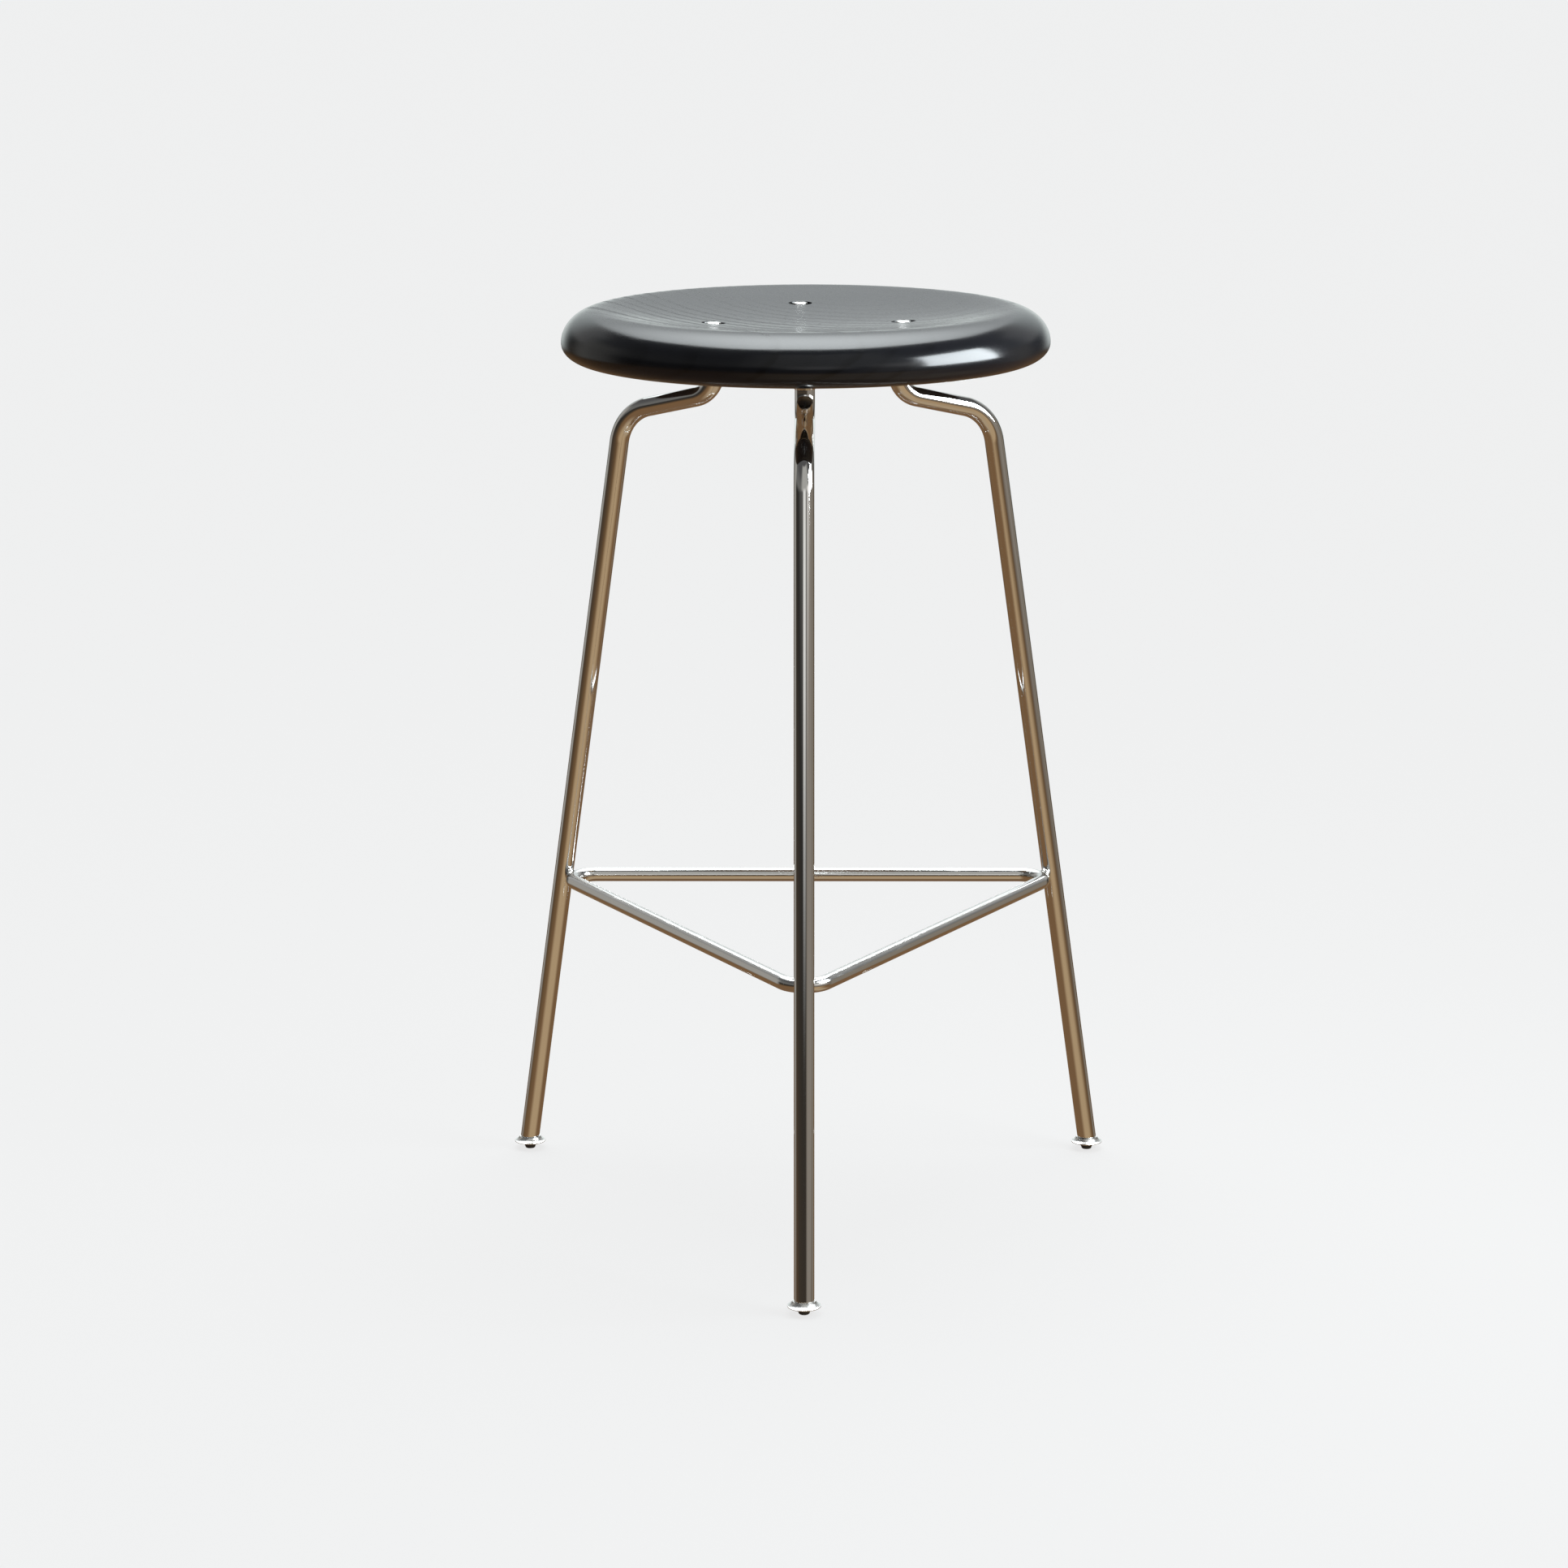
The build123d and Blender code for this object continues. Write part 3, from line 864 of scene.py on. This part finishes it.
    def build(self) -> None:
        """Makes the board and dresses what is fixed to it."""
        self.board()
        dressed(ChromePlate(), "seat_bolts")
        dressed(ZincPlate(), "seat_bolt_washers", "weld_nuts", "seat_plate")
        dressed(OiledBronze(), "thrust_washer")


# ---- Swivel
@dataclass
class Swivel:
    """The ball race under the seat, and the shouldered bolt that holds it together.

    The nut's rings are radii as shares of its width, and its corners are cut back past a circle
    that is a little smaller than its flats.
    """

    nut_width: float = 0.017
    nut_rings: Pair = (0.485, 0.33)
    nut_round: float = 0.985
    nut_bore: float = 0.0050
    nut_countersink: float = 0.0008

    def nut(self) -> None:
        """Makes the hexagon nut with its turned-down corners."""
        low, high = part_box("pivot_nut")
        base = Vector((AXIS.x, AXIS.y, low.z))
        height = high.z - low.z
        corner = self.nut_width / 2 / cos(radians(30))
        blank = Blank()
        turned = Matrix.Translation(base) @ Matrix.Rotation(radians(30), 4, "Z")
        _, hexagon = blank.circle(corner, 6, turned)
        bmesh.ops.subdivide_edges(blank.bm, edges=hexagon, cuts=11)
        blank.pushed(blank.bm.edges[:], UP * height)
        for v in blank.bm.verts:
            over = (v.co - base).xy.length - self.nut_width / 2 * self.nut_round
            if over > 0:
                v.co.z += over * tan(radians(30)) * (1 if v.co.z < base.z + height / 2 else -1)
        rings = [(share * self.nut_width, 0.0) for share in self.nut_rings]
        rings.append((self.nut_bore, self.nut_countersink))
        for level, inwards in ((low.z, 1), (high.z, -1)):
            loop = [e for e in blank.bm.edges if e.is_boundary]
            loop = [e for e in loop if all(abs(v.co.z - level) < height / 2 for v in e.verts)]
            for radius, sink in rings:
                seat = Matrix.Translation(Vector((AXIS.x, AXIS.y, level + inwards * sink)))
                _, edges = blank.circle(radius, 72, seat)
                bmesh.ops.bridge_loops(blank.bm, edges=loop + edges)
                loop = edges
        inner = [e for e in blank.bm.edges if e.is_boundary]
        bmesh.ops.bridge_loops(blank.bm, edges=inner)
        blank.tidied().piece("pivot_nut_hexagon", "frame", ZincPlate(), "pivot_nut", sharp=25.0)

    def build(self) -> None:
        """Makes the nut and dresses the race."""
        self.nut()
        dressed(ZincPlate(), "race_plate", "race_rivets", "pivot_washer", "pivot_bolt")
        dressed(HardenedSteel(), "bearing_balls")
        nylon = Moulding(
            name="moulded_cage",
            slot="cage_plastic",
            colour=(0.62, 0.60, 0.54),
            worn=(0.4, 0.36, 0.28),
            wear_height=-1.0,
        )
        dressed(nylon, "ball_cage")


# ---- Frame
@dataclass
class Legs:
    """Three bent tubes under a round plate, and the bead of weld round each tube's top."""

    tube_radius: float = 0.008
    tube_wall: float = 0.0015
    stub_radius: float = 0.0855
    stub_drop: float = 0.0233
    run_fall: float = 13.5
    splay: float = 9.26
    foot_reach: float = 0.282
    inner_bend: float = 0.024
    outer_bend: float = 0.038
    tube_end: float = 0.011
    end_band: float = 0.0008
    end_edge: float = 0.0003
    spare_length: float = 0.01
    bead_width: float = 0.0030
    bead_sink: float = 0.0002
    bead_ripple: float = 0.00028
    finish: ChromePlate = field(default_factory=ChromePlate)

    @property
    def top(self) -> float:
        """The underside of the plate that the tubes meet."""
        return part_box("frame_plate")[0].z

    def corners(self) -> list[Pair]:
        """Finds the sharp corners of a tube's axis.

        Returns:
            Their radii and heights, from the top down.
        """
        slope, fall = tan(radians(self.splay)), tan(radians(self.run_fall))
        bend = self.top - self.stub_drop
        reach = (self.foot_reach - slope * (bend + fall * self.stub_radius)) / (1 - slope * fall)
        outer = (reach, bend - fall * (reach - self.stub_radius))
        stub = self.stub_radius
        return [(stub, self.top), (stub, bend), outer, (self.foot_reach, 0.0)]

    def tube(self, corner: Corner) -> None:
        """Bends one tube and cuts its lower end level.

        Args:
            corner: Which leg.
        """
        points = [corner.at(r, z) for r, z in self.corners()]
        points[-1] = points[-1] + (points[-1] - points[-2]).normalized() * self.spare_length
        bends = (self.inner_bend, self.outer_bend)
        blank = Blank().bent_bar(self.tube_radius, points, bends, 56)
        blank.cut(self.tube_end, below=True)
        blank.cut(self.tube_end + self.end_band)
        bmesh.ops.solidify(blank.bm, geom=blank.bm.faces[:], thickness=self.tube_wall)
        blank.tidied()
        rims = [e for e in blank.bm.edges if e.calc_face_angle(0.0) > radians(60)]
        edges = {"affect": "EDGES", "segments": 2, "profile": 0.5, "material": -1}
        bmesh.ops.bevel(blank.bm, geom=rims, offset=self.end_edge, **edges)
        blank.piece(f"tube_{corner.value}", "frame", self.finish, f"leg_{corner.value}", sharp=60.0)

    def bead(self, corner: Corner) -> None:
        """Lays the fillet of weld where a tube meets the plate.

        Args:
            corner: Which leg.
        """
        centre = corner.at(self.stub_radius, self.top)
        inner, sink = self.tube_radius - self.bead_sink, self.bead_sink
        hollow = ((1.0, sink), (0.80, -0.0008), (0.50, -0.0015), (0.20, -0.0023))
        face = [(self.tube_radius + share * self.bead_width, z) for share, z in hollow]
        outline = [(inner, sink), *face, (inner, -self.bead_width), (inner, sink)]
        blank = Blank().turned(outline, centre, 160)
        rippled(blank.bm, centre, UP, 26, self.bead_ripple, 7 + len(corner.value))
        blank.piece(f"plate_weld_{corner.value}", "frame", self.finish, sharp=70.0)

    def build(self) -> None:
        """Makes the tubes and their welds, and dresses the plate."""
        for corner in Corner:
            self.tube(corner)
            self.bead(corner)
        dressed(self.finish, "frame_plate")


@dataclass
class Footrest:
    """A rod bent into a rounded triangle and welded to the inner side of each leg."""

    rod_radius: float = 0.006
    height: float = 0.250
    bend: float = 0.020
    bite: float = 0.0005
    weld_radius: float = 0.0046
    weld_bead: float = 0.0019
    weld_lead: float = 0.0004
    weld_ripple: float = 0.00030
    legs: Legs = field(default_factory=Legs)
    finish: ChromePlate = field(default_factory=RubbedChrome)

    @property
    def contact(self) -> float:
        """The radius at which the rod meets the inner side of the legs."""
        splay = radians(self.legs.splay)
        return self.legs.foot_reach - self.height * tan(splay) - self.legs.tube_radius / cos(splay)

    def ring(self) -> None:
        """Bends the rod."""
        apex = self.contact - self.rod_radius + self.bite
        sharp = apex + self.bend / sin(radians(30)) - self.bend
        order = (Corner.FRONT, Corner.BACK_RIGHT, Corner.BACK_LEFT)
        corners = [corner.at(sharp, self.height) for corner in order]
        blank = Blank().bent_bar(self.rod_radius, corners, (self.bend,) * 3, 48, closed=True)
        blank.piece("footrest_rod", "frame", self.finish, "footrest_ring", sharp=80.0)

    def weld(self, corner: Corner) -> None:
        """Lays the bead round the place where a corner of the rod meets its leg.

        Args:
            corner: Which leg.
        """
        out = corner.outwards
        centre = corner.at(self.contact + self.weld_lead, self.height)
        blank = Blank()
        tilt = out.to_track_quat("Z", "Y").to_matrix().to_4x4()
        start = centre + (tilt @ Vector((self.weld_radius, 0, 0)))
        seat = Matrix.Translation(start) @ tilt @ Matrix.Rotation(pi / 2, 4, "X")
        ring, edges = blank.circle(self.weld_bead, 16, seat)
        blank.spun(ring + edges, centre, out, 2 * pi, 120, use_merge=True)
        blank.tidied()
        rippled(blank.bm, centre, out, 15, self.weld_ripple, 3 + len(corner.value))
        blank.piece(f"rod_weld_{corner.value}", "frame", self.finish, sharp=80.0)

    def build(self) -> None:
        """Makes the rod and its welds."""
        self.ring()
        for corner in Corner:
            self.weld(corner)


# ---- Feet
@dataclass
class Feet:
    """A levelling stud, a turning glide and its small sole under each leg."""

    thread_pitch: float = 0.001
    thread_depth: float = 0.00055
    stud_radius: float = 0.003
    head_height: float = 0.0014
    head_edge: float = 0.0002

    def stud(self, corner: Corner) -> None:
        """Cuts the thread of one stud above its round head.

        Args:
            corner: Which leg.
        """
        low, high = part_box(f"stud_{corner.value}")
        head = (high.x - low.x) / 2
        base = Vector((corner.foot.x, corner.foot.y, low.z))
        top, edge = self.head_height, self.head_edge
        thread = (self.stud_radius, self.thread_depth, self.thread_pitch)
        blank = Blank().threaded(*thread, base + UP * top, high.z - low.z - top)
        disc = [(0.0, 0.0), (head - edge, 0.0), (head, edge), (head, top), (0.0, top)]
        blank.turned(disc, base, 48)
        name, body = f"stud_thread_{corner.value}", f"leveller_{corner.value}"
        blank.piece(name, body, ZincPlate(), f"stud_{corner.value}", sharp=30.0)

    def build(self) -> None:
        """Makes the studs and dresses the rest of each foot."""
        for corner in Corner:
            self.stud(corner)
            dressed(HazedChrome(), f"glide_{corner.value}")
            dressed(Moulding(), f"pad_{corner.value}")
            dressed(ZincPlate(), f"plug_{corner.value}")


# ---- Studio
@dataclass(frozen=True)
class Card:
    """A soft-edged patch of light or shade in the room round the stool.

    Angles are in degrees. Azimuths count from the viewer's side, positive to the right.
    """

    azimuth: float
    elevation: float
    half_width: float
    half_height: float
    colour: Triple
    soft_width: float = 8.0
    soft_height: float = 4.0

    def mask(self, graph: Graph, turn: Wire, rise: Wire) -> Wire:
        """How much of the card is seen along a direction.

        Args:
            graph: The graph that the card joins; not used.
            turn: The direction's azimuth.
            rise: The direction's elevation.

        Returns:
            From 0 outside the card to 1 inside.
        """
        x = (turn - self.azimuth).maths("WRAP", 180.0, -180.0).maths("ABSOLUTE")
        y = (rise - self.elevation).maths("ABSOLUTE")
        wide, high = self.half_width, self.half_height
        across = x.step(wide + self.soft_width, wide - self.soft_width)
        return across * y.step(high + self.soft_height, high - self.soft_height)


@dataclass(frozen=True)
class Ceiling:
    """A white sheet lit from above, which hangs from over the stool down behind it.

    Places on it are shares of its height above the stool. It glows from low at the horizon to
    low and high together overhead.
    """

    middle: float = -0.05
    half_width: float = 0.71
    flare: float = -0.03
    front: float = -0.17
    rounding: float = 2.6
    side_soft: float = 0.06
    front_soft: float = 0.05
    hem: Pair = (0.02, 0.12)
    low: float = 0.60
    high: float = 13.0
    curve: float = 3.4
    tint: Triple = (0.93, 0.985, 1.0)

    def over(self, graph: Graph, way: Wire, colour: Wire) -> Wire:
        """Lays the sheet over a colour of the room.

        Args:
            graph: The graph that the sheet joins.
            way: The direction that is looked along.
            colour: The room without the sheet.

        Returns:
            The room with the sheet.
        """
        x, y, z = graph.split(way)
        depth = z.maths("MAXIMUM", 0.03)
        across, back = x / depth, y / depth
        offset = (across - self.middle).maths("ABSOLUTE")
        half, soft = self.half_width, self.side_soft
        sides = (offset - back * self.flare).step(half + soft, half - soft)
        edge, soft = self.front, self.front_soft
        front = (back - offset**3.0 * self.rounding).step(edge - soft, edge + soft)
        glow = {0: self.tint, "Scale": z**self.curve * self.high + self.low}
        lit = graph.add("ShaderNodeVectorMath", {"operation": "SCALE"}, glow)
        return graph.blend(sides * front * z.step(*self.hem), colour, lit)


@dataclass
class Studio:
    """A plain pale floor, soft light from a sheet, a side window and the room, and the camera.

    Each wall is an elevation in degrees and its colour. The window has a lower and an upper
    corner. The camera stands at a distance and an eye height, orbit degrees round the seat's
    axis, and its sight is a yaw, a pitch and a roll.
    """

    pale: float = 0.863
    floor_size: float = 60.0
    floor_albedo: float = 0.04
    floor_glow: float = 0.768
    walls: tuple[tuple[float, Triple], ...] = (
        (-90, (0.20, 0.12, 0.065)),
        (-22, (0.21, 0.12, 0.058)),
        (-16, (0.17, 0.10, 0.048)),
        (-11, (0.10, 0.063, 0.035)),
        (-5, (0.055, 0.042, 0.030)),
        (5, (0.028, 0.027, 0.025)),
        (14, (0.17, 0.168, 0.16)),
        (24, (0.15, 0.15, 0.145)),
        (40, (0.09, 0.09, 0.092)),
        (90, (0.10, 0.10, 0.105)),
    )
    cards: tuple[Card, ...] = (
        Card(24, -31.5, 46, 13.5, (0.48, 0.345, 0.20), 22, 4.5),
        Card(45, -54, 72, 13, (0.46, 0.35, 0.225), 24, 6),
        Card(64, -1, 36, 10, (0.27, 0.24, 0.205), 12),
        Card(116, -4, 14, 16, (0.25, 0.22, 0.18), 9, 5),
        Card(-118, 5, 17, 19, (0.38, 0.37, 0.345), 10, 6),
        Card(12, 37, 38, 24, (0.44, 0.44, 0.42), 16, 3),
        Card(6, 10.5, 14, 5, (0.86, 0.86, 0.84), 9),
        Card(60, 13, 24, 6, (1.00, 0.98, 0.95), 10),
        Card(180, 22, 50, 11, (0.42, 0.42, 0.415), 9, 3.5),
        Card(180, 8, 26, 16, (0.66, 0.72, 0.72), 12),
        Card(180, 0, 22, 4.5, (1.02, 1.10, 1.08), 10),
    )
    window: tuple[Vector, Vector] = (Vector((1.01, -0.69, 0.74)), Vector((1.18, 0.12, 1.40)))
    window_glow: float = 25.0
    window_tint: Triple = (0.88, 0.96, 1.0)
    distance: float = 3.44897
    eye_height: float = 1.15547
    sight: Triple = (-0.774, -13.019, -0.151)
    orbit: float = 0.469
    lens: float = 98.81

    def room(self) -> None:
        """Paints the room that the stool reflects, which the camera never sees."""
        world = bpy.data.worlds.new("room")
        bpy.context.scene.world = world
        world.use_nodes = True
        graph = Graph(world.node_tree)
        way = graph.add("ShaderNodeTexCoord", output="Generated")
        x, y, z = graph.split(way)
        rise = z.maths("ARCSINE") * degrees(1)
        turn = x.maths("ARCTAN2", y * -1.0) * degrees(1)
        stops = [((height + 90) / 180, colour) for height, colour in self.walls]
        colour = graph.add("ShaderNodeValToRGB", {"stops": stops}, {0: rise / 180.0 + 0.5})
        for card in self.cards:
            colour = graph.blend(card.mask(graph, turn, rise), colour, card.colour)
        colour = Ceiling().over(graph, way, colour)
        lit = graph.add("ShaderNodeBackground", values={"Color": colour, "Strength": 1.0})
        pale = {"Color": (self.pale,) * 3 + (1,), "Strength": 1.0}
        plain = graph.add("ShaderNodeBackground", values=pale)
        seen = graph.add("ShaderNodeLightPath", output="Is Camera Ray")
        both = graph.add("ShaderNodeMixShader", values={0: seen, 1: lit, 2: plain})
        graph.add("ShaderNodeOutputWorld", values={"Surface": both})

    def side_window(self) -> None:
        """Hangs the tall soft light to the right of the stool."""
        low, high = self.window
        along = Vector((high.x - low.x, high.y - low.y, 0))
        light = bpy.data.lights.new("side_window", "AREA")
        light.shape = "RECTANGLE"
        light.size, light.size_y = along.length, high.z - low.z
        light.energy = self.window_glow * pi * light.size * light.size_y
        light.color = self.window_tint
        lamp = bpy.data.objects.new("side_window", light)
        across = along.normalized()
        pose = Matrix((across, UP, across.cross(UP))).transposed().to_4x4()
        pose.translation = (low + high) / 2
        lamp.matrix_world = pose
        lamp.visible_camera = False
        bpy.context.scene.collection.objects.link(lamp)

    def floor(self) -> None:
        """Lays the pale floor, which shows only faint shadows."""
        bm = bmesh.new()
        bmesh.ops.create_grid(bm, x_segments=8, y_segments=8, size=self.floor_size / 2)
        mesh = bpy.data.meshes.new("floor")
        bm.to_mesh(mesh)
        bm.free()
        floor = bpy.data.objects.new("floor", mesh)
        bpy.context.scene.collection.objects.link(floor)
        floor.visible_glossy = False
        paint = bpy.data.materials.new("pale_paint")
        paint.use_nodes = True
        graph = Graph(paint.node_tree)
        values = {
            "Base Color": (self.floor_albedo,) * 3 + (1,),
            "Roughness": 1.0,
            "Specular IOR Level": 0.0,
            "Emission Color": (self.floor_glow,) * 3 + (1,),
            "Emission Strength": 1.0,
        }
        shader = graph.add("ShaderNodeBsdfPrincipled", values=values)
        graph.add("ShaderNodeOutputMaterial", values={"Surface": shader})
        mesh.materials.append(paint)

    def camera(self) -> None:
        """Sets the camera up in front of the stool, a little above its seat."""
        lens = bpy.data.cameras.new("camera")
        lens.lens, lens.sensor_width = self.lens, 36.0
        camera = bpy.data.objects.new("camera", lens)
        bpy.context.scene.collection.objects.link(camera)
        yaw, pitch, roll = (radians(a) for a in self.sight)
        ahead = Vector((sin(yaw) * cos(pitch), cos(yaw) * cos(pitch), sin(pitch)))
        right = Vector((cos(yaw), -sin(yaw), 0))
        over = right.cross(ahead)
        level = right * cos(roll) + over * sin(roll)
        upright = over * cos(roll) - right * sin(roll)
        pose = Matrix((level, upright, -ahead)).transposed().to_4x4()
        turn = radians(self.orbit)
        stand = Vector((sin(turn), -cos(turn), 0)) * self.distance
        pose.translation = AXIS + stand + UP * self.eye_height
        camera.matrix_world = pose
        bpy.context.scene.camera = camera

    def build(self) -> None:
        """Sets up the room, its window, the floor and the camera."""
        self.room()
        self.side_window()
        self.floor()
        self.camera()
        bpy.context.scene.view_settings.view_transform = "Standard"


def main() -> None:
    """Builds each sub-assembly in turn, then the studio."""
    logging.basicConfig(level=logging.INFO, format="%(name)s %(message)s")
    for part in (Seat(), Swivel(), Legs(), Footrest(), Feet(), Studio()):
        part.build()
        LOG.info("%s done", type(part).__name__)


if __name__ == "__main__":
    main()
